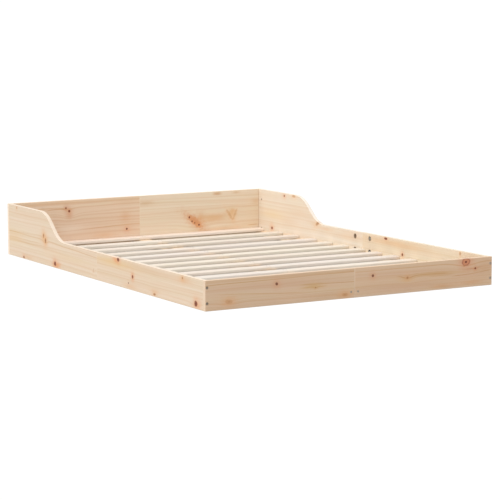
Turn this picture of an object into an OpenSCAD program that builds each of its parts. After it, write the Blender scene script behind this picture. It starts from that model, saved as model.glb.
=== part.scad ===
// Low floor bed frame in solid pine with a slatted base.
// Frame: +X is the right side seen from the foot, +Y points to the head, +Z is up.
// The origin is on the floor, under the middle of the frame. Millimetres.

/* [Frame] */
// Outer width of the frame
frame_w = 1455; // [1255:10:1855]
// Outer length of the frame
frame_l = 2055; // [1955:10:2155]
// Thickness of the boards
board_t = 18; // [18:1:22]
// Height of the foot board and of the low part of the sides
side_h = 128; // [125:1:150]
// Height of the headboard and of the raised part of the sides
head_h = 255; // [240:1:320]

/* [Raised side] */
// Radius of the two bends of the step down from the head
wave_r = 180; // [120:5:190]
// Steepest angle of the step
wave_angle = 40; // [38:1:50]
// Distance of the middle of the step from the middle of the bed
wave_mid = 498; // [450:1:600]

/* [Slats] */
// Width of a slat
slat_w = 55; // [45:1:65]
// Thickness of a slat
slat_t = 16; // [12:1:17]
// Height of the top of the slats above the floor
slat_top = 49; // [48:1:56]
// Radius of the long edges of a slat
slat_r = 5.5; // [2:0.5:5.5]
// Distance from the middle of the bed to the second slat
slat_pitch_1 = 148.5; // [140:0.5:152]

/* [Under the slats] */
// Width of the rails that carry the slat ends
rail_w = 20; // [18:1:30]
// Height of those rails
rail_t = 24; // [22:1:28]
// Width of the middle beam
beam_w = 60; // [50:1:80]
// Thickness of the middle beam
beam_t = 18; // [16:1:22]

/* [Hardware] */
// Diameter of the connector pockets
pocket_d = 26; // [25:1:30]
// Distance of a pocket from the joint
pocket_off = 65; // [60:1:70]
// Height of the lower connectors
pocket_z1 = 37; // [34:1:40]
// Height of the upper connectors in the low boards
pocket_z2 = 103; // [96:1:106]
// Diameter of the connector and corner bolts
bolt_d = 6; // [5:1:6]
// Diameter of the wooden dowels
dowel_d = 8; // [6:1:8]

/* [Hidden] */
$fn = 48;

xo = frame_w / 2;            // outer face of a side board
xi = xo - board_t;           // inner face of a side board
yo = frame_l / 2;            // outer face of the headboard and foot board
yi = yo - board_t;           // their inner face
mid_t = board_t / 2;         // middle of a board's thickness
play = 0.05;                 // room around a shank in its pilot hole

// heights of the corner bolts, dowels and connectors
foot_bolt_z = [32, 98];
head_bolt_z = [49, 201];
foot_dowel_z = [65];
head_dowel_z = [90, 160];
low_pocket_z = [pocket_z1, pocket_z2];
head_pocket_z = [pocket_z1, head_h / 2, head_h - pocket_z1];
low_joint_dowel_z = [70];
head_joint_dowel_z = [81, head_h - 81];
pocket_depth = 15;
barrel_off = 28;             // barrel nut's distance from the end of its board
barrel_d = 10;

// slats: thirteen rows, each of two halves that meet over the middle beam
slat_bottom = slat_top - slat_t;
half_rows = [0, slat_pitch_1, 2 * slat_pitch_1, 3 * slat_pitch_1,
             3 * slat_pitch_1 + 174.5, 3 * slat_pitch_1 + 338.5, yi - slat_w / 2 - 2];
slat_y = [for (i = [6:-1:1]) half_rows[i], 0, for (i = [1:6]) -half_rows[i]];
slat_gap = 0.5;              // from a half slat's end to the middle line
slat_end_gap = 1;            // from a slat's end to the side board
slat_screw_in = 13;          // outer screw's distance from the side board
slat_screw_mid = 8;          // inner screw's distance from the middle line
// the middle row's screws miss the joint, and the end rows' miss the corner nuts
function screw_y(i) = i == 6 ? -12 : i == 0 ? slat_y[i] - 13 : i == 12 ? slat_y[i] + 13 : slat_y[i];

// rails under the slat ends
rail_z = slat_bottom - rail_t;
rail_start = 1.5;
rail_end = yi - 2;
rail_screw_z = rail_z + rail_t / 2;
rail_screw_y = [32, 222, 524, 697, 886];

beam_z = slat_bottom - beam_t;
beam_screw_x = 17.5;
beam_screw_z = slat_bottom - 7;
pad_y = 505;

// ---------- shared shapes ----------

// rectangle with round corners, made of plain squares and circles
module round_rect(w, h, r) {
  square([w - 2 * r, h], center = true);
  square([w, h - 2 * r], center = true);
  for (x = [-1, 1], y = [-1, 1])
    translate([x * (w / 2 - r), y * (h / 2 - r)]) circle(r = r);
}

// rods along an axis, from their start point
module rod_x(p, d, l) { translate(p) rotate([0, 90, 0]) cylinder(d = d, h = l); }
module rod_y(p, d, l) { translate(p) rotate([-90, 0, 0]) cylinder(d = d, h = l); }
module rod_z(p, d, l) { translate(p) cylinder(d = d, h = l); }

// countersunk wood screw, head's flat top at z 0, pointing down
module screw(d, head_d, l) {
  head_h = (head_d - d) / 2;
  difference() {
    union() {
      translate([0, 0, -head_h]) cylinder(d1 = d, d2 = head_d, h = head_h);
      translate([0, 0, -l + d]) cylinder(d = d, h = l - d - head_h);
      translate([0, 0, -l]) cylinder(d1 = 0.6, d2 = d, h = d);
    }
    // cross recess
    for (a = [0, 90]) rotate([0, 0, a])
      translate([-head_d * 0.27, -0.4, -1.3]) cube([head_d * 0.54, 0.8, 2]);
  }
}

// the hole that screw() needs in the piece under its head
module screw_hole(d, head_d, l) {
  head_h = (head_d - d) / 2;
  translate([0, 0, -head_h]) cylinder(d1 = d + 2 * play, d2 = head_d + 2 * play, h = head_h + 0.001);
  translate([0, 0, -l - 1]) cylinder(d = d + 2 * play, h = l + 1);
  cylinder(d = head_d + 2 * play, h = 2);
}

slat_screw_d = 3.5;
slat_screw_head = 7.5;
slat_screw_l = 28;
beam_screw_d = 5;
beam_screw_head = 10;
beam_screw_l = 60;

// ---------- boards ----------

// half of the headboard, from the middle joint to the right corner
module headboard_half() {
  color("burlywood") difference() {
    translate([0, yi, 0]) cube([xo, board_t, head_h]);
    for (z = head_bolt_z) {
      rod_y([xo - mid_t, yi - 1, z], bolt_d + 0.5, board_t + 2);
      rod_y([xo - mid_t, yo - 5, z], 13, 6);
    }
    for (z = head_dowel_z) rod_y([xo - mid_t, yi - 1, z], dowel_d + 2 * play, 13);
    for (z = head_pocket_z) {
      rod_y([pocket_off, yo - pocket_depth, z], pocket_d, pocket_depth + 1);
      rod_x([-1, yi + mid_t, z], bolt_d + 1, pocket_off - 4);
    }
    for (z = head_joint_dowel_z) rod_x([-1, yi + mid_t, z], dowel_d + 2 * play, 21);
    translate([beam_screw_x, yo, beam_screw_z]) rotate([-90, 0, 0])
      screw_hole(beam_screw_d, beam_screw_head, board_t + 2);
  }
}

// half of the foot board, from the middle joint to the right corner
module footboard_half() {
  color("burlywood") difference() {
    translate([0, -yo, 0]) cube([xo, board_t, side_h]);
    for (z = foot_bolt_z) {
      rod_y([xo - mid_t, -yo - 1, z], bolt_d + 0.5, board_t + 2);
      rod_y([xo - mid_t, -yo - 1, z], 13, 6);
    }
    for (z = foot_dowel_z) rod_y([xo - mid_t, -yi - 12, z], dowel_d + 2 * play, 13);
    for (z = low_pocket_z) {
      rod_y([pocket_off, -yi - pocket_depth, z], pocket_d, pocket_depth + 1);
      rod_x([-1, -yi - mid_t, z], bolt_d + 1, pocket_off - 4);
    }
    for (z = low_joint_dowel_z) rod_x([-1, -yi - mid_t, z], dowel_d + 2 * play, 21);
    translate([beam_screw_x, -yo, beam_screw_z]) rotate([90, 0, 0])
      screw_hole(beam_screw_d, beam_screw_head, board_t + 2);
  }
}

// outline of the head part of a side: low run, step up in two bends, raised end
wave_drop = head_h - side_h;
bend_r = min(wave_r, 0.45 * wave_drop / (1 - cos(wave_angle)));
wave_line = (wave_drop - 2 * bend_r * (1 - cos(wave_angle))) / sin(wave_angle);
wave_run = bend_r * sin(wave_angle) + wave_line / 2 * cos(wave_angle);
wave_hi = wave_mid + wave_run;
wave_lo = wave_mid - wave_run;
t_hi = [wave_hi - bend_r * sin(wave_angle), head_h - bend_r * (1 - cos(wave_angle))];
t_lo = [wave_lo + bend_r * sin(wave_angle), side_h + bend_r * (1 - cos(wave_angle))];
module wave_outline() {
  square([yi, side_h]);
  translate([wave_hi, 0]) square([yi - wave_hi, head_h]);
  // outer bend
  intersection() {
    translate([wave_hi, head_h - bend_r]) circle(r = bend_r, $fn = 180);
    translate([t_hi[0], 0]) square([wave_hi - t_hi[0], head_h]);
  }
  translate([t_hi[0], 0]) square([wave_hi - t_hi[0], t_hi[1]]);
  // straight between the bends
  polygon([[t_lo[0], 0], [t_hi[0], 0], t_hi, t_lo]);
  // inner bend
  difference() {
    translate([wave_lo, 0]) square([t_lo[0] - wave_lo, t_lo[1]]);
    translate([wave_lo, side_h + bend_r]) circle(r = bend_r, $fn = 180);
  }
}

// holes of a right side board: end is the y of its outer end, s is 1 for the head part and -1 for the foot part
module side_holes(s, bolt_z, dowel_z) {
  for (z = bolt_z) {
    rod_y([xo - mid_t, s > 0 ? yi - 36 : -yi - 1, z], bolt_d + 0.5, 37);
    rod_x([xi - 1, s * (yi - barrel_off), z], barrel_d, 16);
  }
  for (z = dowel_z) rod_y([xo - mid_t, s > 0 ? yi - 20 : -yi - 1, z], dowel_d + 2 * play, 21);
  for (z = low_pocket_z) {
    rod_x([xi - 1, s * pocket_off, z], pocket_d, pocket_depth + 1);
    rod_y([xo - mid_t, s > 0 ? -1 : -pocket_off + 5, z], bolt_d + 1, pocket_off - 4);
  }
  for (z = low_joint_dowel_z) rod_y([xo - mid_t, s > 0 ? -1 : -20, z], dowel_d + 2 * play, 21);
  for (y = rail_screw_y) rod_x([xi - 1, s * y, rail_screw_z], slat_screw_d + 2 * play, 12);
}

module side_board_head() {
  color("wheat") difference() {
    translate([xi, 0, 0]) rotate([90, 0, 90]) linear_extrude(board_t) wave_outline();
    side_holes(1, head_bolt_z, head_dowel_z);
  }
}

module side_board_foot() {
  color("wheat") difference() {
    translate([xi, -yi, 0]) cube([board_t, yi, side_h]);
    side_holes(-1, foot_bolt_z, foot_dowel_z);
  }
}

// ---------- under the slats ----------

// slot through a right rail, open at the top, that gives access to a hole of the board behind it
module access_slot(y, z, d) {
  rod_x([xi - rail_w - 1, y, z], d, rail_w + 2);
  translate([xi - rail_w - 1, y - d / 2, z]) cube([rail_w + 2, d, slat_bottom + 10 - z]);
}

// rail on the right side; s is 1 for the head part
module slat_rail(s) {
  color("blanchedalmond") difference() {
    translate([xi - rail_w, s > 0 ? rail_start : -rail_end, rail_z]) cube([rail_w, rail_end - rail_start, rail_t]);
    for (i = [0:12]) if (s * screw_y(i) > 0)
      rod_z([xi - slat_screw_in, screw_y(i), slat_top - slat_screw_l - 0.5], slat_screw_d + 2 * play, 40);
    access_slot(s * pocket_off, pocket_z1, pocket_d + 2);
    if (s < 0) access_slot(-yi + barrel_off, foot_bolt_z[0], barrel_d + 2);
    for (y = rail_screw_y) translate([xi - rail_w, s * y, rail_screw_z]) rotate([0, -90, 0])
      screw_hole(slat_screw_d, slat_screw_head, rail_w + 2);
  }
}

// middle beam, s is 1 for the head half
module center_beam(s) {
  color("blanchedalmond") difference() {
    translate([-beam_w / 2, s > 0 ? 0 : -yi, beam_z]) cube([beam_w, yi, beam_t]);
    for (x = [-1, 1]) {
      rod_y([x * beam_screw_x, s > 0 ? yi - 43 : -yi - 1, beam_screw_z], beam_screw_d + 2 * play, 44);
      for (i = [0:12]) if (s * screw_y(i) > 0)
        rod_z([x * slat_screw_mid, screw_y(i), slat_top - slat_screw_l - 0.5], slat_screw_d + 2 * play, 40);
      rod_z([x * 18, s * 35, beam_z - 1], slat_screw_d + 2 * play, 13);
      rod_z([0, s * (pad_y + x * 18), beam_z - 1], slat_screw_d + 2 * play, 13);
    }
  }
}

// pads that carry the beam on the floor
module beam_pad(y, l) {
  color("burlywood") difference() {
    translate([-beam_w / 2, y - l / 2, 0]) cube([beam_w, l, beam_z]);
    if (y == 0) {
      for (a = [-1, 1], b = [-1, 1]) translate([a * 18, b * 35, 2]) mirror([0, 0, 1])
        screw_hole(slat_screw_d, slat_screw_head, beam_z);
    } else {
      for (b = [-1, 1]) translate([0, y + b * 18, 2]) mirror([0, 0, 1])
        screw_hole(slat_screw_d, slat_screw_head, beam_z);
    }
  }
}

// right half of slat i, counted from the head
module slat_half(i) {
  l = xi - slat_end_gap - slat_gap;
  color("antiquewhite") difference() {
    translate([slat_gap, slat_y[i], slat_bottom + slat_t / 2]) rotate([90, 0, 90])
      linear_extrude(l) round_rect(slat_w, slat_t, slat_r);
    for (x = [slat_screw_mid, xi - slat_screw_in])
      translate([x, screw_y(i), slat_top]) screw_hole(slat_screw_d, slat_screw_head, slat_t + 2);
  }
}

// ---------- hardware ----------

// socket-head bolt that enters along -y at the head end
module corner_bolt() {
  color("dimgray") difference() {
    union() {
      rotate([90, 0, 0]) cylinder(d = 12.5, h = 4);
      translate([0, -3.5, 0]) rotate([90, 0, 0]) cylinder(d = bolt_d, h = 44.5);
      translate([0, -48, 0]) rotate([90, 0, 0]) cylinder(d1 = bolt_d, d2 = bolt_d - 2, h = 1);
    }
    translate([0, 1, 0]) rotate([90, 0, 0]) cylinder(d = 4.6, h = 3.6, $fn = 6);
  }
}
module corner_bolts() {
  for (m = [0, 1]) mirror([m, 0, 0]) {
    for (z = head_bolt_z) translate([xo - mid_t, yo - 1, z]) corner_bolt();
    for (z = foot_bolt_z) translate([xo - mid_t, -yo + 1, z]) mirror([0, 1, 0]) corner_bolt();
  }
}

module barrel_nut() {
  color("silver") difference() {
    rod_x([2.6, 0, 0], barrel_d - 2 * play, 12);
    rod_y([mid_t, -8, 0], bolt_d + 2 * play, 16);
    translate([2, -0.6, -6]) cube([1.6, 1.2, 12]);
  }
}
module barrel_nuts() {
  for (m = [0, 1]) mirror([m, 0, 0]) {
    for (z = head_bolt_z) translate([xi, yi - barrel_off, z]) barrel_nut();
    for (z = foot_bolt_z) translate([xi, -yi + barrel_off, z]) barrel_nut();
  }
}

// fluted only by eye: a plain rod with bevelled ends, along +y
module dowel(l) {
  color("tan") {
    rotate([-90, 0, 0]) cylinder(d1 = dowel_d - 2, d2 = dowel_d, h = 1);
    rod_y([0, 1, 0], dowel_d, l - 2);
    translate([0, l - 1, 0]) rotate([-90, 0, 0]) cylinder(d1 = dowel_d, d2 = dowel_d - 2, h = 1);
  }
}
module corner_dowels() {
  for (m = [0, 1]) mirror([m, 0, 0]) {
    for (z = head_dowel_z) translate([xo - mid_t, yi - 19, z]) dowel(30);
    for (z = foot_dowel_z) translate([xo - mid_t, -yi - 11, z]) dowel(30);
  }
}
module joint_dowels() {
  for (m = [0, 1]) mirror([m, 0, 0])
    for (z = low_joint_dowel_z) translate([xo - mid_t, -19, z]) dowel(38);
  for (z = low_joint_dowel_z) translate([-19, -yi - mid_t, z]) rotate([0, 0, -90]) dowel(38);
  for (z = head_joint_dowel_z) translate([-19, yi + mid_t, z]) rotate([0, 0, -90]) dowel(38);
}

// connector: a studded rod across the joint, with a crescent washer and a nut in each pocket
crescent_y = 8;   // from the pocket's centre to the washer's flat
module connector_bolt() {
  color("silver") {
    rotate([-90, 0, 0]) translate([0, 0, -pocket_off]) cylinder(d1 = bolt_d - 2, d2 = bolt_d, h = 1);
    rod_y([0, -pocket_off + 1, 0], bolt_d, 2 * pocket_off - 2);
    rotate([-90, 0, 0]) translate([0, 0, pocket_off - 1]) cylinder(d1 = bolt_d, d2 = bolt_d - 2, h = 1);
  }
}
// d is the pocket's depth axis: +x is into the board from its face, origin on the rod's axis at the joint
module crescent_washer() {
  color("silver") difference() {
    intersection() {
      rod_x([-5.5, pocket_off, 0], pocket_d - 0.2, 11);
      translate([-6, pocket_off - 20, -15]) cube([12, 20 - crescent_y, 30]);
    }
    rod_y([0, 40, 0], bolt_d + 0.6, 30);
  }
}
module connector_nut() {
  color("silver") difference() {
    translate([0, pocket_off - crescent_y, 0]) rotate([-90, 0, 0]) cylinder(d = 10 / cos(30), h = 5, $fn = 6);
    rod_y([0, 40, 0], bolt_d + 2 * play, 30);
  }
}
// puts its child at each connector of the bed
module at_connectors() {
  for (m = [0, 1]) mirror([m, 0, 0])
    for (z = low_pocket_z) translate([xo - mid_t, 0, z]) children();
  for (z = low_pocket_z) translate([0, -yi - mid_t, z]) rotate([0, 0, -90]) children();
  for (z = head_pocket_z) translate([0, yi + mid_t, z]) rotate([0, 0, -90]) children();
}
module connector_bolts() { at_connectors() connector_bolt(); }
module crescent_washers() { at_connectors() for (s = [0, 1]) mirror([0, s, 0]) crescent_washer(); }
module connector_nuts() { at_connectors() for (s = [0, 1]) mirror([0, s, 0]) connector_nut(); }

module beam_end_screws() {
  color("dimgray") for (x = [-1, 1]) {
    translate([x * beam_screw_x, yo, beam_screw_z]) rotate([-90, 0, 0]) screw(beam_screw_d, beam_screw_head, beam_screw_l);
    translate([x * beam_screw_x, -yo, beam_screw_z]) rotate([90, 0, 0]) screw(beam_screw_d, beam_screw_head, beam_screw_l);
  }
}
module slat_screws() {
  color("silver") for (i = [0:12], m = [0, 1]) mirror([m, 0, 0])
    for (x = [slat_screw_mid, xi - slat_screw_in])
      translate([x, screw_y(i), slat_top]) screw(slat_screw_d, slat_screw_head, slat_screw_l);
}
module rail_screws() {
  color("silver") for (m = [0, 1], s = [-1, 1]) mirror([m, 0, 0])
    for (y = rail_screw_y)
      translate([xi - rail_w, s * y, rail_screw_z]) rotate([0, -90, 0]) screw(slat_screw_d, slat_screw_head, rail_w + 10);
}
module pad_screws() {
  color("silver") {
    for (a = [-1, 1], b = [-1, 1]) translate([a * 18, b * 35, 2]) mirror([0, 0, 1])
      screw(slat_screw_d, slat_screw_head, beam_z + 8);
    for (s = [-1, 1], b = [-1, 1]) translate([0, s * pad_y + b * 18, 2]) mirror([0, 0, 1])
      screw(slat_screw_d, slat_screw_head, beam_z + 8);
  }
}

// ---------- nodes ----------

module left() { mirror([1, 0, 0]) children(); }
left() headboard_half();  // headboard_left
headboard_half();  // headboard_right
left() footboard_half();  // footboard_left
footboard_half();  // footboard_right
left() side_board_head();  // side_board_left_head
left() side_board_foot();  // side_board_left_foot
side_board_head();  // side_board_right_head
side_board_foot();  // side_board_right_foot
left() slat_rail(1);  // slat_rail_left_head
left() slat_rail(-1);  // slat_rail_left_foot
slat_rail(1);  // slat_rail_right_head
slat_rail(-1);  // slat_rail_right_foot
center_beam(1);  // center_beam_head
center_beam(-1);  // center_beam_foot
beam_pad(pad_y, 60);  // beam_pad_head
beam_pad(0, 120);  // beam_pad_middle
beam_pad(-pad_y, 60);  // beam_pad_foot
left() slat_half(0);  // slat_01_left
slat_half(0);  // slat_01_right
left() slat_half(1);  // slat_02_left
slat_half(1);  // slat_02_right
left() slat_half(2);  // slat_03_left
slat_half(2);  // slat_03_right
left() slat_half(3);  // slat_04_left
slat_half(3);  // slat_04_right
left() slat_half(4);  // slat_05_left
slat_half(4);  // slat_05_right
left() slat_half(5);  // slat_06_left
slat_half(5);  // slat_06_right
left() slat_half(6);  // slat_07_left
slat_half(6);  // slat_07_right
left() slat_half(7);  // slat_08_left
slat_half(7);  // slat_08_right
left() slat_half(8);  // slat_09_left
slat_half(8);  // slat_09_right
left() slat_half(9);  // slat_10_left
slat_half(9);  // slat_10_right
left() slat_half(10);  // slat_11_left
slat_half(10);  // slat_11_right
left() slat_half(11);  // slat_12_left
slat_half(11);  // slat_12_right
left() slat_half(12);  // slat_13_left
slat_half(12);  // slat_13_right
corner_bolts();
barrel_nuts();
corner_dowels();
connector_bolts();
crescent_washers();
connector_nuts();
joint_dowels();
beam_end_screws();
slat_screws();
rail_screws();
pad_screws();
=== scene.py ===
import math

import bpy
from mathutils import Matrix, Vector


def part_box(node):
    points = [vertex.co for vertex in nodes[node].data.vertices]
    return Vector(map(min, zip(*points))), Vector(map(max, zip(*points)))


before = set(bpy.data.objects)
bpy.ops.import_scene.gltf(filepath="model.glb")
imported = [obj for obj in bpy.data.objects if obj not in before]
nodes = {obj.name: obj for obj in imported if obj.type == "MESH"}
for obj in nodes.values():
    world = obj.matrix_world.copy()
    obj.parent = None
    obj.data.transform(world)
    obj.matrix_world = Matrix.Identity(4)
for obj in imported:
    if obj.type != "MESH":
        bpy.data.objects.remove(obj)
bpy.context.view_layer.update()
scene = bpy.context.scene

# ---------------------------------------------------------------------------
# Camera: fitted to the photograph, which is taken to be 500 x 500.
# ---------------------------------------------------------------------------
AZIMUTH, ELEVATION, ROLL = math.radians(-29.8777), math.radians(7.5526), math.radians(-0.1116)
lens_data = bpy.data.cameras.new("camera")
lens_data.sensor_width = 36.0
lens_data.sensor_fit = "HORIZONTAL"
lens_data.lens = 141.47
lens_data.clip_start, lens_data.clip_end = 0.1, 400.0
camera = bpy.data.objects.new("camera", lens_data)
scene.collection.objects.link(camera)
camera.location = (-4.5259, -8.0079, 1.3081)
camera.rotation_euler = (
    Matrix.Rotation(AZIMUTH, 3, "Z") @ Matrix.Rotation(math.pi / 2 - ELEVATION, 3, "X") @ Matrix.Rotation(ROLL, 3, "Z")
).to_euler()
scene.camera = camera

# ---------------------------------------------------------------------------
# Light: white sky, one very soft sun from the left, white floor.
# ---------------------------------------------------------------------------
scene.view_settings.view_transform = "Standard"
scene.view_settings.look = "None"
scene.view_settings.exposure = 0.0
scene.view_settings.gamma = 1.0

world = bpy.data.worlds.new("studio")
scene.world = world
world.use_nodes = True
wt = world.node_tree
wt.nodes.clear()
w_out = wt.nodes.new("ShaderNodeOutputWorld")
w_mix = wt.nodes.new("ShaderNodeMixShader")
w_path = wt.nodes.new("ShaderNodeLightPath")
w_seen = wt.nodes.new("ShaderNodeBackground")
w_seen.inputs["Color"].default_value = (1.0, 1.0, 1.0, 1.0)
w_seen.inputs["Strength"].default_value = 1.05
w_sky = wt.nodes.new("ShaderNodeBackground")
w_sky.inputs["Color"].default_value = (1.0, 1.0, 1.0, 1.0)
w_sky.inputs["Strength"].default_value = 0.90
wt.links.new(w_path.outputs["Is Camera Ray"], w_mix.inputs[0])
wt.links.new(w_sky.outputs[0], w_mix.inputs[1])
wt.links.new(w_seen.outputs[0], w_mix.inputs[2])
wt.links.new(w_mix.outputs[0], w_out.inputs["Surface"])

sun_data = bpy.data.lights.new("sun", "SUN")
sun_data.energy = 1.75
sun_data.angle = math.radians(60.0)
sun_data.color = (1.0, 0.99, 0.965)
sun = bpy.data.objects.new("sun", sun_data)
scene.collection.objects.link(sun)
# the light comes from -X, a little from the foot, and from high up
sun.rotation_euler = Vector((-0.70, -0.12, 0.70)).to_track_quat("Z", "Y").to_euler()

# ---------------------------------------------------------------------------
# Node helpers
# ---------------------------------------------------------------------------


def lin(r, g, b):
    """sRGB 0-255 to a linear colour with alpha."""
    def one(c):
        c /= 255.0
        return c / 12.92 if c <= 0.04045 else ((c + 0.055) / 1.055) ** 2.4
    return (one(r), one(g), one(b), 1.0)


class Tree:
    def __init__(self, name):
        self.mat = bpy.data.materials.new(name)
        self.mat.use_nodes = True
        self.nt = self.mat.node_tree
        self.nt.nodes.clear()
        self.out = self.nt.nodes.new("ShaderNodeOutputMaterial")
        self.shader = self.nt.nodes.new("ShaderNodeBsdfPrincipled")
        self.nt.links.new(self.shader.outputs[0], self.out.inputs["Surface"])

    def put(self, socket, value):
        if isinstance(value, bpy.types.NodeSocket):
            self.nt.links.new(value, socket)
        else:
            socket.default_value = value

    def new(self, kind, **settings):
        node = self.nt.nodes.new(kind)
        for key, value in settings.items():
            setattr(node, key, value)
        return node

    def m(self, op, a, b=None, c=None, clamp=False):
        node = self.new("ShaderNodeMath", operation=op, use_clamp=clamp)
        self.put(node.inputs[0], a)
        if b is not None:
            self.put(node.inputs[1], b)
        if c is not None:
            self.put(node.inputs[2], c)
        return node.outputs[0]

    def add(self, a, b): return self.m("ADD", a, b)
    def sub(self, a, b): return self.m("SUBTRACT", a, b)
    def mul(self, a, b): return self.m("MULTIPLY", a, b)
    def fma(self, a, b, c): return self.m("MULTIPLY_ADD", a, b, c)

    def gauss(self, q):
        """exp(-q), q >= 0"""
        return self.m("POWER", 2.718281828, self.mul(q, -1.0))

    def step(self, x, lo, hi):
        """smooth 0 to 1 as x goes from lo to hi (lo may be above hi)"""
        node = self.new("ShaderNodeMapRange", interpolation_type="SMOOTHSTEP", clamp=True)
        a, b, flip = (lo, hi, False) if lo < hi else (hi, lo, True)
        self.put(node.inputs["Value"], x)
        node.inputs["From Min"].default_value = a
        node.inputs["From Max"].default_value = b
        node.inputs["To Min"].default_value = 1.0 if flip else 0.0
        node.inputs["To Max"].default_value = 0.0 if flip else 1.0
        return node.outputs["Result"]

    def vec(self, x, y, z):
        node = self.new("ShaderNodeCombineXYZ")
        for socket, value in zip(node.inputs, (x, y, z)):
            self.put(socket, value)
        return node.outputs[0]

    def noise(self, vector, scale=1.0, detail=2.0, rough=0.5, distortion=0.0, dims="3D"):
        node = self.new("ShaderNodeTexNoise", noise_dimensions=dims)
        self.put(node.inputs["Vector"], vector)
        node.inputs["Scale"].default_value = scale
        node.inputs["Detail"].default_value = detail
        node.inputs["Roughness"].default_value = rough
        node.inputs["Distortion"].default_value = distortion
        return node.outputs[0]

    def mix(self, factor, a, b, blend="MIX"):
        node = self.new("ShaderNodeMix", data_type="RGBA", blend_type=blend, clamp_factor=True)
        self.put(node.inputs[0], factor)
        self.put(node.inputs[6], a)
        self.put(node.inputs[7], b)
        return node.outputs[2]

    def ramp(self, factor, stops, mode="LINEAR"):
        node = self.new("ShaderNodeValToRGB")
        node.color_ramp.interpolation = mode
        el = node.color_ramp.elements
        while len(el) < len(stops):
            el.new(0.5)
        for e, (pos, colour) in zip(el, stops):
            e.position = pos
            e.color = colour
        self.put(node.inputs[0], factor)
        return node.outputs[0]

    def scale_colour(self, colour, gain):
        node = self.new("ShaderNodeVectorMath", operation="MULTIPLY")
        self.put(node.inputs[0], colour)
        self.put(node.inputs[1], gain)
        return node.outputs[0]

    def bump(self, height, distance, strength):
        node = self.new("ShaderNodeBump")
        node.inputs["Strength"].default_value = strength
        node.inputs["Distance"].default_value = distance
        self.put(node.inputs["Height"], height)
        return node.outputs[0]


# ---------------------------------------------------------------------------
# Pine
# ---------------------------------------------------------------------------
PALE, WARM, LATE, DEEP = (239, 219, 198), (232, 207, 178), (221, 186, 147), (202, 154, 108)

KNOT_LOOKS = {
    # core, ring, centre, halo
    "dark": ((128, 74, 52), (112, 58, 40), (84, 42, 30), (226, 160, 118)),
    "red": ((156, 92, 62), (128, 64, 40), (92, 46, 30), (228, 152, 96)),
    "tan": ((190, 136, 88), (172, 114, 68), (142, 88, 50), (230, 174, 120)),
    "soft": ((212, 164, 118), (204, 150, 102), (186, 128, 82), (232, 182, 134)),
    "ring": ((222, 158, 120), (168, 84, 56), (104, 40, 28), (226, 152, 110)),
}


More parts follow.
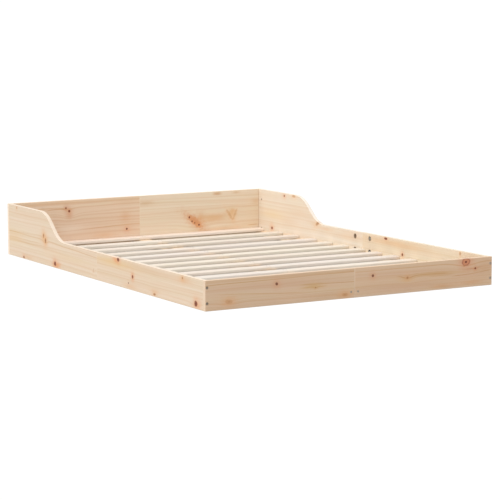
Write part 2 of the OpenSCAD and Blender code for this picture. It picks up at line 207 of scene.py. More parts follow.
class Wood:
    """A piece of sawn pine. U runs along the grain, V across the face that is seen, W through the thickness, all in mm in the row frame."""

    def __init__(self, name, u, v, seed, gain=(1, 1, 1), wander=10.0, pith=(40.0, 55.0),
                 streak=0.36, streak_size=11.0, ring=4.2, ring_strength=0.17, fibre=0.07,
                 hue=0.3, edge=0.55, holes=(), palette=(PALE, WARM, LATE, DEEP), limits=None, knots=(), lines=(), patches=(),
                 slope=0.0, bump=0.5, rough=0.6):
        t = self.t = Tree(name)
        w = ({"X", "Y", "Z"} - {u, v}).pop()
        tex = t.new("ShaderNodeTexCoord")
        split = t.new("ShaderNodeSeparateXYZ")
        t.put(split.inputs[0], tex.outputs["Object"])
        mm = {a: t.mul(split.outputs[a], 1000.0) for a in "XYZ"}
        U, V, W = mm[u], mm[v], mm[w]
        normal = t.new("ShaderNodeSeparateXYZ")
        t.put(normal.inputs[0], tex.outputs["Normal"])
        end = t.step(t.m("ABSOLUTE", normal.outputs[u]), 0.8, 0.95)
        side = t.step(t.m("ABSOLUTE", normal.outputs[w]), 0.95, 0.6)
        self.U, self.V, self.W = U, V, W
        o1, o2, o3 = 17.3 * seed, -9.1 * seed, 5.7 * seed

        # the grain's own cross coordinate, which wanders along the board
        n1 = t.noise(t.vec(t.fma(U, 1 / 620, o1), t.fma(V, 1 / 210, o2), t.fma(W, 1 / 210, o3)), detail=1.0)
        n2 = t.noise(t.vec(t.fma(U, 1 / 150, o2), t.fma(V, 1 / 50, o3), t.fma(W, 1 / 50, o1)), detail=1.5)
        S = t.fma(t.sub(n1, 0.5), 2 * wander, V)
        S = t.fma(t.sub(n2, 0.5), 0.45 * wander, S)
        if slope:
            S = t.fma(U, slope, S)
        wob = t.noise(t.vec(t.fma(U, 1 / 14, o3), t.fma(V, 1 / 12, o1), t.fma(W, 1 / 12, o2)), detail=2.0)

        found = []
        for k in knots:
            u0, v0, ru, rv = k["u"], k["v"], k["ru"], k["rv"]
            lean_u, lean_v = k.get("lean", (0.0, 0.0))
            at = k.get("w", 0.0)
            du = t.sub(U, u0) if not lean_u else t.sub(t.fma(t.sub(W, at), -lean_u, U), u0)
            dv = t.sub(V, v0) if not lean_v else t.sub(t.fma(t.sub(W, at), -lean_v, V), v0)
            a = math.radians(k.get("turn", 0.0))
            if a:
                x = t.add(t.mul(du, math.cos(a)), t.mul(dv, math.sin(a)))
                y = t.add(t.mul(dv, math.cos(a)), t.mul(du, -math.sin(a)))
            else:
                x, y = du, dv
            # grain is pushed around the knot
            wide_u, wide_v = k.get("wide", (3.4, 2.0))
            near = t.gauss(t.add(
                t.m("POWER", t.mul(t.m("ABSOLUTE", du), 1 / (ru * wide_u)), 2.0),
                t.m("POWER", t.mul(t.m("ABSOLUTE", dv), 1 / (rv * wide_v)), 2.0),
            ))
            S = t.fma(near, k.get("lift", 0.9 * rv), S)
            S = t.sub(S, t.mul(t.mul(near, dv), k.get("part", 0.35)))
            rho = t.m("SQRT", t.add(
                t.m("POWER", t.mul(t.m("ABSOLUTE", x), 1 / ru), 2.0),
                t.m("POWER", t.mul(t.m("ABSOLUTE", y), 1 / rv), 2.0),
            ))
            rho = t.mul(rho, t.fma(t.sub(wob, 0.5), k.get("ragged", 0.5), 1.0))
            found.append((k, rho, near))

        vc, wc = pith
        r = t.m("SQRT", t.add(
            t.m("POWER", t.m("ABSOLUTE", t.sub(S, vc)), 2.0),
            t.m("POWER", t.m("ABSOLUTE", t.sub(W, wc)), 2.0),
        ))
        self.r = r

        # growth rings: pale early wood that darkens slowly and ends in a thin late-wood line
        phase = t.add(t.mul(r, 1 / ring), t.mul(n2, 1.6))
        frac = t.m("FRACT", phase)
        late = t.m("POWER", frac, 3.2)
        late = t.mul(late, t.step(frac, 1.0, 0.93))
        year = t.noise(t.vec(t.m("FLOOR", phase), o1, o2), detail=0.0)
        late = t.mul(late, t.fma(year, 1.1, 0.35))

        # broad streaks that follow the rings, and fine fibres
        s1 = t.noise(t.vec(t.fma(U, 1 / 1400, o1), t.fma(r, 1 / streak_size, o2), o3), detail=2.5, rough=0.55)
        s2 = t.noise(t.vec(t.fma(U, 1 / 420, o3), t.fma(r, 1 / (streak_size * 0.38), o1), o2), detail=2.0)
        s3 = t.noise(t.vec(t.fma(U, 1 / 70, o2), t.fma(S, 1 / 1.5, o3), t.fma(W, 1 / 1.5, o1)), detail=2.0)
        s4 = t.noise(t.vec(t.fma(U, 1 / 12, o2), t.fma(V, 1 / 0.55, o3), t.fma(W, 1 / 0.55, o1)), detail=2.0, rough=0.6)
        self.s4 = s4

        tone = t.fma(t.sub(s1, 0.5), streak * 1.5, 0.36)
        tone = t.fma(t.sub(s2, 0.5), streak * 0.75, tone)
        tone = t.fma(t.sub(s3, 0.5), fibre * 1.4, tone)
        tone = t.fma(t.sub(s4, 0.5), fibre, tone)
        tone = t.fma(late, ring_strength, tone)
        self.late = late

        # explicit darker or lighter grain lines: position across the grain, width, strength, from, to
        for ln in lines:
            s0, width, amount = ln["s"], ln["width"], ln["amount"]
            d = t.sub(S, s0)
            if ln.get("tilt"):
                d = t.sub(d, t.mul(t.sub(U, ln.get("at", 0.0)), ln["tilt"]))
            g = t.gauss(t.m("POWER", t.mul(t.m("ABSOLUTE", d), 1 / width), 2.0))
            if "span" in ln:
                a, b = ln["span"]
                soft = ln.get("soft", 60.0)
                g = t.mul(g, t.mul(t.step(U, a - soft, a + soft), t.step(U, b + soft, b - soft)))
            tone = t.fma(g, amount, tone)

        pale, warm, lateC, deep = (lin(*c) for c in palette)
        colour = t.ramp(tone, [(0.0, pale), (0.36, warm), (0.72, lateC), (1.0, deep)])

        # slow changes of hue, pinkish to yellowish
        h = t.noise(t.vec(t.fma(U, 1 / 260, o3), t.fma(r, 1 / 26, o1), o2), detail=2.0)
        colour = t.mix(t.mul(t.step(h, 0.36, 0.64), hue), colour, t.scale_colour(colour, (1.03, 0.965, 0.93)))
        colour = t.mix(t.mul(t.step(h, 0.6, 0.3), hue), colour, t.scale_colour(colour, (0.985, 1.005, 0.93)))

        for p in patches:
            du = t.m("ABSOLUTE", t.sub(U, p["u"]))
            dv = t.m("ABSOLUTE", t.sub(V if p.get("flat") else S, p["v"]))
            q = t.add(t.m("POWER", t.mul(du, 1 / p["ru"]), p.get("hard", 2.0)),
                      t.m("POWER", t.mul(dv, 1 / p["rv"]), p.get("hard", 2.0)))
            q = t.mul(q, t.fma(t.sub(wob, 0.5), p.get("ragged", 0.6), 1.0))
            g = t.gauss(q)
            if "w" in p:
                g = t.mul(g, t.step(t.m("ABSOLUTE", t.sub(W, p["w"])), 6.0, 3.0))
            colour = t.mix(t.mul(g, p.get("amount", 0.5)), colour, lin(*p["colour"]))

        knotty = 0.0
        for k, rho, near in found:
            core, rim, centre, halo = KNOT_LOOKS[k["look"]]
            core, rim, centre, halo = (k.get("core", core), k.get("rim", rim), k.get("centre", centre), k.get("halo", halo))
            reach = k.get("reach", 2.3)
            g = t.gauss(t.m("POWER", t.mul(rho, 1.0 / reach), 2.0))
            colour = t.mix(t.mul(g, k.get("halo_amount", 0.4)), colour, lin(*halo))
            rings = t.m("FRACT", t.fma(rho, k.get("rings", 3.0), t.mul(wob, 0.5)))
            face = t.mix(t.mul(rings, k.get("ring_mix", 0.6)), lin(*core), lin(*rim))
            face = t.mix(t.step(rho, k.get("pit", 0.42), k.get("pit", 0.42) * 0.45), face, lin(*centre))
            face = t.mix(t.mul(t.step(rho, 0.72, 0.92), k.get("rim_amount", 0.8)), face, lin(*rim))
            inside = t.mul(t.step(rho, 1.2, 0.8), k.get("amount", 1.0))
            colour = t.mix(inside, colour, face)
            knotty = t.m("MAXIMUM", knotty, t.mul(inside, 1.0))

        # faces that don't face along the thickness (top and bottom edges, cut curves, rounded edges) are painted paler:
        # a painted highlight for the light they catch
        if edge:
            colour = t.mix(t.mul(side, edge), colour, t.mix(late, lin(250, 234, 214), lin(236, 212, 184)))
        # end grain: the same rings, finer and a little greyer
        cut = t.mix(t.mul(late, 0.5), lin(240, 221, 197), lin(208, 176, 140))
        cut = t.mix(t.mul(t.step(s3, 0.35, 0.7), 0.25), cut, lin(224, 200, 172))
        colour = t.mix(t.mul(end, 0.8), colour, cut)

        # the bored pockets: painted darker inside, painted shade for the deep recess
        if holes:
            lo, hi = limits[2]
            depth = t.m("MINIMUM", t.m("ABSOLUTE", t.sub(W, lo)), t.m("ABSOLUTE", t.sub(W, hi)))
            bored = 0.0
            for hu, hv, hr in holes:
                d2 = t.add(t.m("POWER", t.m("ABSOLUTE", t.sub(U, hu)), 2.0), t.m("POWER", t.m("ABSOLUTE", t.sub(V, hv)), 2.0))
                bored = t.m("MAXIMUM", bored, t.step(d2, (hr + 0.6) ** 2, hr ** 2))
            bored = t.mul(bored, t.step(depth, 0.5, 2.5))
            colour = t.mix(t.mul(bored, 0.75), colour, t.mix(s3, lin(150, 112, 76), lin(116, 84, 56)))

        # handled, slightly rounded edges are a touch paler and smoother
        worn = None
        if limits:
            d = []
            for coord, (a, b) in zip((U, V, W), limits):
                d.append(t.m("MINIMUM", t.m("ABSOLUTE", t.sub(coord, a)), t.m("ABSOLUTE", t.sub(coord, b))))
            mid = t.m("MAXIMUM", t.m("MINIMUM", d[0], d[1]), t.m("MINIMUM", t.m("MAXIMUM", d[0], d[1]), d[2]))
            mid = t.fma(t.sub(wob, 0.5), 3.0, mid)
            worn = t.step(mid, 3.6, 0.6)
            colour = t.mix(t.mul(worn, 0.28), colour, lin(244, 222, 192))

        colour = t.scale_colour(colour, tuple(gain))
        t.put(t.shader.inputs["Base Color"], colour)

        rough_v = t.fma(t.sub(s3, 0.5), 0.22, rough)
        rough_v = t.sub(rough_v, t.mul(late, 0.07))
        if found:
            rough_v = t.sub(rough_v, t.mul(knotty, 0.14))
        if worn is not None:
            rough_v = t.sub(rough_v, t.mul(worn, 0.06))
        t.put(t.shader.inputs["Roughness"], t.m("MINIMUM", t.m("MAXIMUM", rough_v, 0.3), 0.9))
        t.shader.inputs["Specular IOR Level"].default_value = 0.32
        height = t.add(t.mul(late, 0.55), t.add(t.mul(s4, 0.35), t.mul(s3, 0.5)))
        if found:
            height = t.sub(height, t.mul(knotty, 0.6))
        t.put(t.shader.inputs["Normal"], t.bump(height, 0.00028, bump))
        self.mat = t.mat


def knot(u, v, ru, rv, look, **more):
    return dict(u=u, v=v, ru=ru, rv=rv, look=look, **more)


def line(s, width, amount, **more):
    return dict(s=s, width=width, amount=amount, **more)


def patch(u, v, ru, rv, colour, amount, **more):
    return dict(u=u, v=v, ru=ru, rv=rv, colour=colour, amount=amount, **more)


def limits_of(name, u, v):
    lo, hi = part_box(name)
    w = ({"X", "Y", "Z"} - {u, v}).pop()
    return [(lo["XYZ".index(a)] * 1000.0, hi["XYZ".index(a)] * 1000.0) for a in (u, v, w)]


ORANGE, YELLOW, BROWN, PINK = (226, 170, 116), (232, 192, 132), (190, 134, 86), (228, 184, 156)
RED, TAN, ROSE = (206, 138, 100), (214, 172, 126), (216, 174, 146)
LOW_POCKETS = [(65, 37, 13.1), (65, 103, 13.1), (-65, 37, 13.1), (-65, 103, 13.1)]

BOARDS = {
    "footboard_left": dict(
        u="X", v="Z", seed=1.0, gain=(0.87, 0.83, 0.82), wander=7.0, pith=(-30.0, -1100.0),
        knots=[
            knot(-387, 89, 6.6, 6.4, "dark", amount=0.85, halo_amount=0.45, reach=3.0, w=-1027.5),
            knot(-616, 32, 16, 9, "soft", amount=0.48, halo_amount=0.7, reach=2.3, w=-1027.5),
            knot(-49, 17, 13, 7, "soft", amount=0.6, halo_amount=0.7, reach=2.8, w=-1027.5),
            knot(-196, 59, 3.0, 3.0, "tan", amount=0.8, halo_amount=0.2, reach=3.0, lift=6, w=-1027.5),
        ],
        lines=[line(111, 1.8, 0.46, tilt=0.012, at=-360), line(65, 2.0, 0.3, tilt=-0.053, at=-650, span=(-660, -270)),
               line(73, 1.4, 0.52, tilt=-0.02, at=-130, span=(-262, 20), soft=20), line(62, 1.3, 0.42, span=(-262, -150), soft=20),
               line(89, 2.6, 0.14, tilt=0.01, at=-400), line(25, 3.0, 0.16, tilt=-0.01, at=-400), line(41, 2.0, 0.12)],
        patches=[patch(-401, 119, 900, 7, TAN, 0.4), patch(-421, 85, 420, 18, ROSE, 0.36), patch(-206, 67, 52, 12, (216, 176, 108), 0.55), patch(-500, 22, 300, 16, ROSE, 0.1),
                 # the pale strip at the joint (u=0) is a painted highlight along the rounded joint edge
                 patch(0, 62, 2.8, 300, (244, 222, 198), 0.85, flat=True, hard=4.0),
                 patch(-122, 21, 120, 14, TAN, 0.3)],
    ),
    "footboard_right": dict(
        u="X", v="Z", seed=2.0, gain=(0.865, 0.81, 0.785), wander=7.0, pith=(-30.0, -1100.0),
        knots=[
            knot(93, 88, 5.9, 5.7, "dark", amount=0.85, halo_amount=0.45, reach=3.0, w=-1027.5),
            knot(585, 113, 21, 17, "ring", reach=1.9, halo_amount=0.6, ring_mix=0.2, pit=0.34, rim_amount=0.9, lift=12, w=-1027.5),
            knot(575, 95, 3, 3, "tan", amount=0.5, halo_amount=0.15, w=-1027.5),
            knot(636, 81, 4.9, 4.6, "red", halo_amount=0.4, reach=2.4, w=-1027.5),
            knot(273, 66, 5.5, 5, "tan", amount=0.6, reach=3.0, lift=10, wide=(7, 4), w=-1027.5),
        ],
        lines=[line(108, 1.8, 0.3, tilt=0.009, at=0), line(65, 2.0, 0.3, span=(394, 500), soft=25), line(58, 1.7, 0.52, tilt=0.062, at=522, span=(520, 720), soft=25),
               line(77, 1.4, 0.52, tilt=-0.012, at=240, span=(225, 480), soft=20), line(70, 1.3, 0.38, span=(300, 520), soft=25),
               line(83, 2.4, 0.14), line(45, 2.4, 0.15, tilt=0.01, at=300), line(29, 2.0, 0.12), line(13, 3.0, 0.14)],
        # the pale strip at u=0 in this line is a painted highlight along the rounded joint edge
        patches=[patch(298, 118, 420, 6, TAN, 0.06), patch(218, 91, 280, 15, ROSE, 0.26), patch(690, 88, 60, 36, (208, 160, 116), 0.38), patch(0, 62, 2.8, 300, (244, 222, 198), 0.85, flat=True, hard=4.0),
                 patch(418, 77, 150, 9, (212, 170, 106), 0.45), patch(238, 30, 260, 22, ROSE, 0.28), patch(618, 92, 42, 5, RED, 0.5),
                 patch(456, 17, 60, 9, ORANGE, 0.45), patch(618, 22, 62, 9, ORANGE, 0.4), patch(266, 65, 44, 11, YELLOW, 0.35),
                 patch(598, 58, 120, 12, ROSE, 0.25)],
    ),
    "headboard_left": dict(
        u="X", v="Z", seed=3.0, gain=(1.01, 1.02, 1.08), wander=10.0, pith=(-60.0, 1140.0),
        knots=[
            knot(-399, 199, 5.5, 6.5, "red", halo_amount=0.3, reach=2.0, lift=12, wide=(8, 6), w=1009.5),
            knot(-417, 215, 4, 5, "red", halo_amount=0.3, reach=2.0, lift=0, w=1009.5),
            knot(-76, 89, 4.9, 4.9, "dark", halo_amount=0.45, reach=3.0, w=1009.5),
        ],
        lines=[line(207, 1.8, 0.5, tilt=0.08, at=-510, span=(-520, -425), soft=12), line(118, 1.6, 0.5, span=(-492, -452), soft=10),
               line(95, 1.6, 0.45, span=(-480, -455), soft=8), line(238, 6.0, 0.26), line(216, 2.6, 0.3), line(186, 2.2, 0.26, tilt=0.01, at=-300),
               line(173, 3.0, 0.26), line(152, 4.0, 0.28, tilt=-0.01, at=-200), line(134, 2.4, 0.3), line(120, 2.4, 0.22),
               line(102, 2.6, 0.38, tilt=0.03, at=-260), line(79, 4.0, 0.22)],
        patches=[patch(-399, 194, 20, 27, (206, 138, 92), 0.5, ragged=1.0), patch(-417, 218, 15, 14, (200, 138, 94), 0.35, ragged=1.0),
                 patch(-84, 149, 30, 28, (218, 160, 106), 0.4, ragged=1.0), patch(-206, 63, 62, 12, ORANGE, 0.4),
                 patch(-76, 89, 36, 22, (226, 164, 118), 0.25), patch(-377, 122, 420, 70, ROSE, 0.3), patch(-387, 107, 90, 26, (242, 224, 200), 0.45), patch(-80, 222, 70, 16, (222, 184, 146), 0.32)],
    ),
    "headboard_right": dict(
        u="X", v="Z", seed=4.0, gain=(1.03, 1.12, 1.22), wander=10.0, pith=(-60.0, 1140.0),
        knots=[
            knot(322, 102, 54, 18, "soft", turn=-38, amount=0.45, halo_amount=0.8, reach=1.35, ragged=1.1, lift=8, wide=(1.6, 3), pit=0.1,
                 core=(206, 130, 78), rim=(210, 138, 86), centre=(196, 116, 66), halo=(216, 146, 92), w=1009.5),
            knot(289, 126, 5, 6, "red", halo_amount=0.3, reach=2.0, lift=0, w=1009.5),
            knot(305, 104, 4, 5, "red", halo_amount=0.2, reach=2.0, lift=0, w=1009.5),
            knot(321, 95, 3, 3.5, "red", halo_amount=0.2, reach=2.0, lift=0, w=1009.5),
            knot(346, 84, 5.5, 5.5, "red", halo_amount=0.3, reach=2.4, lift=0, w=1009.5),
            knot(532, 125, 34, 6.5, "soft", turn=-57, amount=0.5, ragged=1.0, halo_amount=0.3, reach=1.6, lift=-5, wide=(1, 5), w=1009.5),
            knot(563, 128, 26, 6, "soft", turn=68, amount=0.45, ragged=1.0, halo_amount=0.3, reach=1.6, lift=-4, wide=(1, 5), w=1009.5),
        ],
        lines=[line(92, 3.0, 0.12), line(160, 3.0, 0.16, tilt=0.02, at=300), line(206, 3.0, 0.16, tilt=-0.015, at=400), line(180, 2.4, 0.12),
               line(226, 3.0, 0.12), line(140, 2.4, 0.12), line(68, 1.8, 0.5, span=(645, 700), soft=12)],
        patches=[patch(435, 116, 86, 20, (216, 160, 102), 0.6, hard=2.6, ragged=1.0), patch(355, 124, 26, 24, (216, 156, 102), 0.5, ragged=1.0), patch(34, 214, 48, 12, (208, 164, 116), 0.5, ragged=1.0),
                 patch(547, 130, 24, 26, (222, 170, 112), 0.68, ragged=1.0), patch(691, 191, 22, 14, (214, 166, 112), 0.36, ragged=1.0),
                 patch(456, 243, 24, 8, (206, 156, 108), 0.75, hard=3.0), patch(571, 244, 22, 6, TAN, 0.65), patch(487, 60, 120, 9, ORANGE, 0.4),
                 # the last patch is a dark strip along the inside corner with the right side board: painted shade in
                 # the corner
                 patch(709, 110, 2.4, 130, (150, 108, 72), 0.35, flat=True, hard=4.0, w=1009.5)],
    ),
    "side_board_left_head": dict(
        u="Y", v="Z", seed=5.0, edge=0.42, gain=(0.90, 0.95, 1.04), wander=10.0, pith=(-60.0, -800.0),
        knots=[
            knot(590, 139, 7, 10, "tan", halo_amount=0.7, reach=2.8, w=-727.5),
            knot(568, 118, 8, 11, "tan", halo_amount=0.7, reach=2.8, w=-727.5),
            knot(461, 20, 13, 10, "red", halo_amount=0.7, reach=2.2, w=-727.5),
            knot(831, 9, 7, 6, "red", halo_amount=0.4, w=-727.5),
            knot(37, 40, 4, 8, "tan", amount=0.35, halo_amount=0.1, w=-727.5),
            knot(911, 244, 6, 6, "soft", amount=0.8, halo_amount=0.4, w=-727.5),
        ],
        lines=[line(104, 2.6, 0.36, tilt=0.02, at=0), line(96, 2.2, 0.3, span=(640, 1020)), line(87, 3.0, 0.16, tilt=-0.02, at=500), line(43, 3.0, 0.14), line(73, 4.0, 0.14, tilt=0.02, at=400), line(131, 3.0, 0.14, tilt=-0.03, at=700),
               line(179, 3.0, 0.13), line(217, 3.0, 0.13), line(23, 3.0, 0.12)],
        patches=[patch(432, 19, 36, 14, (230, 160, 106), 0.7, ragged=1.0), patch(783, 11, 50, 8, ORANGE, 0.4), patch(592, 123, 50, 30, ORANGE, 0.3), patch(943, 99, 110, 34, YELLOW, 0.35),
                 patch(292, 63, 260, 16, YELLOW, 0.2)],
    ),
    "side_board_left_foot": dict(
        u="Y", v="Z", seed=6.0, edge=0.42, gain=(0.90, 0.95, 1.04), wander=8.0, pith=(-60.0, -800.0),
        knots=[
            knot(-220, 120, 11, 8.5, "red", halo_amount=0.6, reach=2.2, w=-727.5),
            knot(-363, 61, 7, 8, "red", halo_amount=0.7, reach=2.5, w=-727.5),
            knot(-321, 28, 3.5, 4, "dark", halo_amount=0.2, w=-727.5),
            knot(-947, 22, 13, 12, "red", halo_amount=0.6, reach=2.0, w=-727.5),
            knot(-829, 114, 6, 5, "tan", amount=0.8, halo_amount=0.6, reach=3.0, w=-727.5),
            knot(-572, 11, 11, 5, "tan", amount=0.9, halo_amount=0.4, w=-727.5),
        ],
        lines=[line(76, 2.6, 0.18, tilt=0.01, at=-400), line(43, 3.0, 0.16), line(98, 2.6, 0.14), line(23, 3.0, 0.12), line(57, 2.0, 0.12, tilt=-0.01, at=-700)],
        patches=[patch(-178, 100, 210, 20, YELLOW, 0.6), patch(-194, 118, 32, 13, (234, 160, 104), 0.75, ragged=1.0), patch(-336, 15, 60, 10, ORANGE, 0.4),
                 patch(-972, 25, 28, 18, (230, 160, 108), 0.36, ragged=1.0), patch(-842, 106, 60, 14, ORANGE, 0.45), patch(-575, 23, 40, 10, ORANGE, 0.4), patch(-526, 106, 240, 12, TAN, 0.3)],
    ),
    "side_board_right_head": dict(
        u="Y", v="Z", seed=7.0, gain=(0.93, 1.045, 1.21), wander=10.0, pith=(-60.0, 800.0), holes=LOW_POCKETS + [(981.5, 49, 5.1), (981.5, 201, 5.1)],
        knots=[
            knot(871, 59, 8.5, 8, "red", halo_amount=0.5, reach=2.8, w=709.5),
            knot(745, 240, 6, 5, "red", halo_amount=0.45, reach=3.0, w=709.5),
            knot(649, 247, 16, 7, "soft", amount=0.8, halo_amount=0.4, w=709.5),
            knot(414, 130, 20, 8, "tan", amount=0.7, halo_amount=0.5, turn=-30, w=709.5),
        ],
        lines=[line(150, 3.0, 0.12), line(200, 3.0, 0.12), line(90, 3.0, 0.12)],
        patches=[patch(858, 131, 130, 26, YELLOW, 0.45), patch(340, 108, 80, 9, ORANGE, 0.45), patch(102, 99, 120, 24, (222, 170, 122), 0.32), patch(445, 128, 70, 14, ORANGE, 0.3), patch(590, 160, 130, 42, (224, 182, 142), 0.34), patch(705, 112, 90, 28, (224, 182, 142), 0.3)],
    ),
    "side_board_right_foot": dict(
        u="Y", v="Z", seed=8.0, gain=(0.90, 0.98, 1.05), wander=8.0, pith=(-60.0, 800.0), holes=[(-65, 37, 13.1)] + [(-981.5, 32, 5.1), (-981.5, 98, 5.1)],
        knots=[
            knot(-206, 119, 13, 6, "red", halo_amount=0.4, reach=2.2, w=709.5),
            knot(-348, 58, 6.5, 7, "red", halo_amount=0.5, reach=2.6, w=709.5),
            knot(-811, 116, 4, 9, "tan", amount=0.8, halo_amount=0.45, w=709.5),
        ],
        lines=[line(73, 3.0, 0.14), line(49, 3.0, 0.12), line(95, 3.0, 0.14)],
        patches=[patch(-275, 105, 270, 16, ORANGE, 0.5), patch(-384, 97, 200, 20, (222, 172, 124), 0.12), patch(-929, 102, 125, 24, (214, 168, 124), 0.42)],
    ),
}

made = {}
for name, spec in BOARDS.items():
    spec = dict(spec)
    u, v = spec["u"], spec["v"]
    made[name] = Wood(name + "_pine", limits=limits_of(name, u, v), **spec).mat

# the last two tones are brighter copies: painted light that lifts the shaded first row and the left halves of rows two
# and three
SLAT_TONES = [(0.91, 0.985, 1.12), (0.90, 0.965, 1.11), (0.915, 1.0, 1.12), (0.895, 0.98, 1.16), (1.05, 1.09, 1.25), (0.95, 1.04, 1.20)]
slat_mats = [
    Wood("slat_pine_%d" % (n + 1), "X", "Y", 11.0 + 3.7 * n, gain=tone, wander=5.0, pith=(0.0, -60.0 - 20.0 * n), streak=0.3, streak_size=6.0,
         palette=((246, 232, 214), (238, 220, 196), (224, 200, 172), (206, 176, 144)), hue=0.3, edge=0.0).mat
    for n, tone in enumerate(SLAT_TONES)
]
rail_mat = Wood("rail_pine", "Y", "X", 12.0, wander=5.0, pith=(640.0, -40.0), palette=((242, 226, 204), (234, 212, 184), (216, 186, 152), (196, 158, 120)), edge=0.0).mat
pad_mat = Wood("pad_pine", "Y", "X", 13.0, wander=4.0, pith=(10.0, -40.0)).mat
dowel_mat = Wood("dowel_beech", "Y", "X", 14.0, wander=2.0, pith=(0.0, -40.0), palette=((222, 186, 146), (212, 172, 130), (190, 148, 106), (170, 128, 88))).mat


def metal(name, base, rough, grain, metallic=1.0, dusty=None, brown=None):
    t = Tree(name)
    tex = t.new("ShaderNodeTexCoord")
    n = t.noise(tex.outputs["Object"], scale=1 / grain, detail=3.0)
    f = t.noise(tex.outputs["Object"], scale=6 / grain, detail=2.0)
    dark = tuple(c * 0.72 for c in base[:3]) + (1.0,)
    colour = t.mix(n, dark, base)
    if dusty:
        # the bolts on the right side are paler, with sanding dust on them
        x = t.new("ShaderNodeSeparateXYZ")
        t.put(x.inputs[0], tex.outputs["Object"])
        colour = t.mix(t.mul(t.step(x.outputs[0], 0.5, 0.6), t.fma(n, 0.3, 0.6)), colour, dusty)
    if brown:
        # the connectors in the head part are painted brown: partly painted shade of their deep pockets, partly dust
        # from them
        y = t.new("ShaderNodeSeparateXYZ")
        t.put(y.inputs[0], tex.outputs["Object"])
        here = t.mul(t.step(y.outputs[1], 0.02, 0.04), t.step(t.m("ABSOLUTE", y.outputs[0]), 0.6, 0.65))
        colour = t.mix(t.mul(here, t.fma(n, 0.2, 0.75)), colour, brown)
    t.put(t.shader.inputs["Base Color"], colour)
    t.shader.inputs["Metallic"].default_value = metallic
    t.put(t.shader.inputs["Roughness"], t.fma(t.sub(f, 0.5), 0.3, rough))
    t.put(t.shader.inputs["Normal"], t.bump(f, 0.0002, 0.3))
    return t.mat


bolt_mat = metal("bolt_bronze", (0.38, 0.31, 0.25, 1.0), 0.5, 0.004, 0.6, (0.58, 0.45, 0.36, 1.0))
end_screw_mat = metal("end_screw_bronze", (0.50, 0.44, 0.37, 1.0), 0.45, 0.003, 0.6)
screw_mat = metal("screw_zinc", (0.56, 0.55, 0.52, 1.0), 0.42, 0.003)
connector_mat = metal("connector_zinc", (0.62, 0.62, 0.61, 1.0), 0.42, 0.005, brown=(0.30, 0.15, 0.08, 1.0))

BY_SLOT = {
    "pine_slat": slat_mats[0], "pine_rail": rail_mat, "beech_dowel": dowel_mat,
    "black_bolt": bolt_mat, "zinc_screw": screw_mat, "zinc_connector": connector_mat,
}
for name, o in nodes.items():
    slot = o.material_slots[0].material.name.split(".")[0] if o.material_slots and o.material_slots[0].material else ""
    mat = made.get(name) or BY_SLOT.get(slot)
    if name.startswith("beam_pad"):
        mat = pad_mat
    if name == "beam_end_screws":
        mat = end_screw_mat
    if slot == "pine_slat":
        row = int(name.split("_")[1])
        # row 1 and the left halves of rows 2 and 3 take the brighter tones: painted light over their shade
        mat = slat_mats[4 if row == 1 else 5 if row in (2, 3) and name.endswith("left") else (row * 7 + (3 if name.endswith("left") else 0)) % 5 % 4]
    if mat is None:
        raise SystemExit("no material for " + name + " " + slot)
    for s in o.material_slots:
        s.material = mat

# ---------------------------------------------------------------------------
# Rounded edges
# ---------------------------------------------------------------------------


def long_edges(angle=0.6, shortest=0.003):
    """Geometry nodes that give every long, sharp edge a bevel weight, and leave the rims of the bored holes sharp."""
    g = bpy.data.node_groups.new("mark_long_edges", "GeometryNodeTree")
    g.interface.new_socket("Geometry", in_out="INPUT", socket_type="NodeSocketGeometry")
    g.interface.new_socket("Geometry", in_out="OUTPUT", socket_type="NodeSocketGeometry")
    into, out = g.nodes.new("NodeGroupInput"), g.nodes.new("NodeGroupOutput")
    store = g.nodes.new("GeometryNodeStoreNamedAttribute")
    store.data_type, store.domain = "FLOAT", "EDGE"
    store.inputs["Name"].default_value = "bevel_weight_edge"
    turn = g.nodes.new("GeometryNodeInputMeshEdgeAngle")
    ends = g.nodes.new("GeometryNodeInputMeshEdgeVertices")
    length = g.nodes.new("ShaderNodeVectorMath")
    length.operation = "DISTANCE"
    sharp, long = g.nodes.new("ShaderNodeMath"), g.nodes.new("ShaderNodeMath")
    sharp.operation = long.operation = "GREATER_THAN"
    sharp.inputs[1].default_value, long.inputs[1].default_value = angle, shortest
    both = g.nodes.new("ShaderNodeMath")
    both.operation = "MULTIPLY"
    link = g.links.new
    link(ends.outputs["Position 1"], length.inputs[0])
    link(ends.outputs["Position 2"], length.inputs[1])
    link(turn.outputs["Unsigned Angle"], sharp.inputs[0])
    link(length.outputs["Value"], long.inputs[0])
    link(sharp.outputs[0], both.inputs[0])
    link(long.outputs[0], both.inputs[1])
    link(into.outputs[0], store.inputs["Geometry"])
    link(both.outputs[0], store.inputs["Value"])
    link(store.outputs[0], out.inputs[0])
    return g


LONG_EDGES = long_edges()


def soften(o, width, segments=3):
    weld = o.modifiers.new("weld", "WELD")
    weld.merge_threshold = 1e-5
    flat = o.modifiers.new("flat", "DECIMATE")
    flat.decimate_type = "DISSOLVE"
    flat.angle_limit = 0.01
    mark = o.modifiers.new("mark", "NODES")
    mark.node_group = LONG_EDGES
    bevel = o.modifiers.new("bevel", "BEVEL")
    bevel.width = width
    bevel.segments = segments
    bevel.limit_method = "WEIGHT"
    bevel.use_clamp_overlap = False
    shade = o.modifiers.new("shade", "WEIGHTED_NORMAL")
    shade.keep_sharp = False


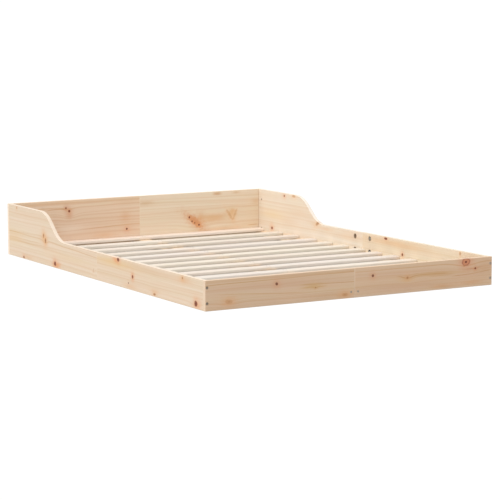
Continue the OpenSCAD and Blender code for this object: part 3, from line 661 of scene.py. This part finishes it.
for name in BOARDS:
    # three segments would push one corner of this board 0.08 mm out of the frame's box
    soften(nodes[name], 0.0015, 2 if name == "side_board_right_foot" else 3)
for name in nodes:
    if name.startswith(("slat_rail", "center_beam", "beam_pad")):
        soften(nodes[name], 0.001, 2)

# ---------------------------------------------------------------------------
# Floor
# ---------------------------------------------------------------------------
floor_mesh = bpy.data.meshes.new("floor")
R = 200.0
floor_mesh.from_pydata([(-R, -R, 0), (R, -R, 0), (R, R, 0), (-R, R, 0)], [], [(0, 1, 2, 3)])
floor = bpy.data.objects.new("floor", floor_mesh)
scene.collection.objects.link(floor)
floor.location.z = -0.0006
ft = Tree("floor_white")
ftex = ft.new("ShaderNodeTexCoord")
fn = ft.noise(ftex.outputs["Object"], scale=3.0, detail=2.0)
fsplit = ft.new("ShaderNodeSeparateXYZ")
ft.put(fsplit.inputs[0], ftex.outputs["Object"])
# the photograph's ground is pure white around the bed and in shade under it
inside = ft.mul(ft.step(ft.m("ABSOLUTE", fsplit.outputs[0]), 0.727, 0.719), ft.step(ft.m("ABSOLUTE", fsplit.outputs[1]), 1.027, 1.019))
# the floor under the head half is painted lighter: painted light that lifts the shade seen between the slats there
under = ft.mix(ft.step(fsplit.outputs[1], 0.35, 0.75), (0.62, 0.60, 0.57, 1.0), (0.70, 0.68, 0.64, 1.0))
ft.put(ft.shader.inputs["Base Color"], ft.mix(inside, ft.mix(fn, (0.44, 0.44, 0.43, 1.0), (0.48, 0.48, 0.47, 1.0)), under))
ft.shader.inputs["Roughness"].default_value = 0.9
ft.shader.inputs["Specular IOR Level"].default_value = 0.1
glow = ft.new("ShaderNodeEmission")
glow.inputs["Color"].default_value = (1.0, 1.0, 1.0, 1.0)
glow.inputs["Strength"].default_value = 1.05
fmix = ft.new("ShaderNodeMixShader")
fpath = ft.new("ShaderNodeLightPath")
ft.put(fmix.inputs[0], ft.mul(fpath.outputs["Is Camera Ray"], ft.sub(1.0, inside)))
ft.nt.links.new(ft.shader.outputs[0], fmix.inputs[1])
ft.nt.links.new(glow.outputs[0], fmix.inputs[2])
ft.nt.links.new(fmix.outputs[0], ft.out.inputs["Surface"])
floor_mesh.materials.append(ft.mat)
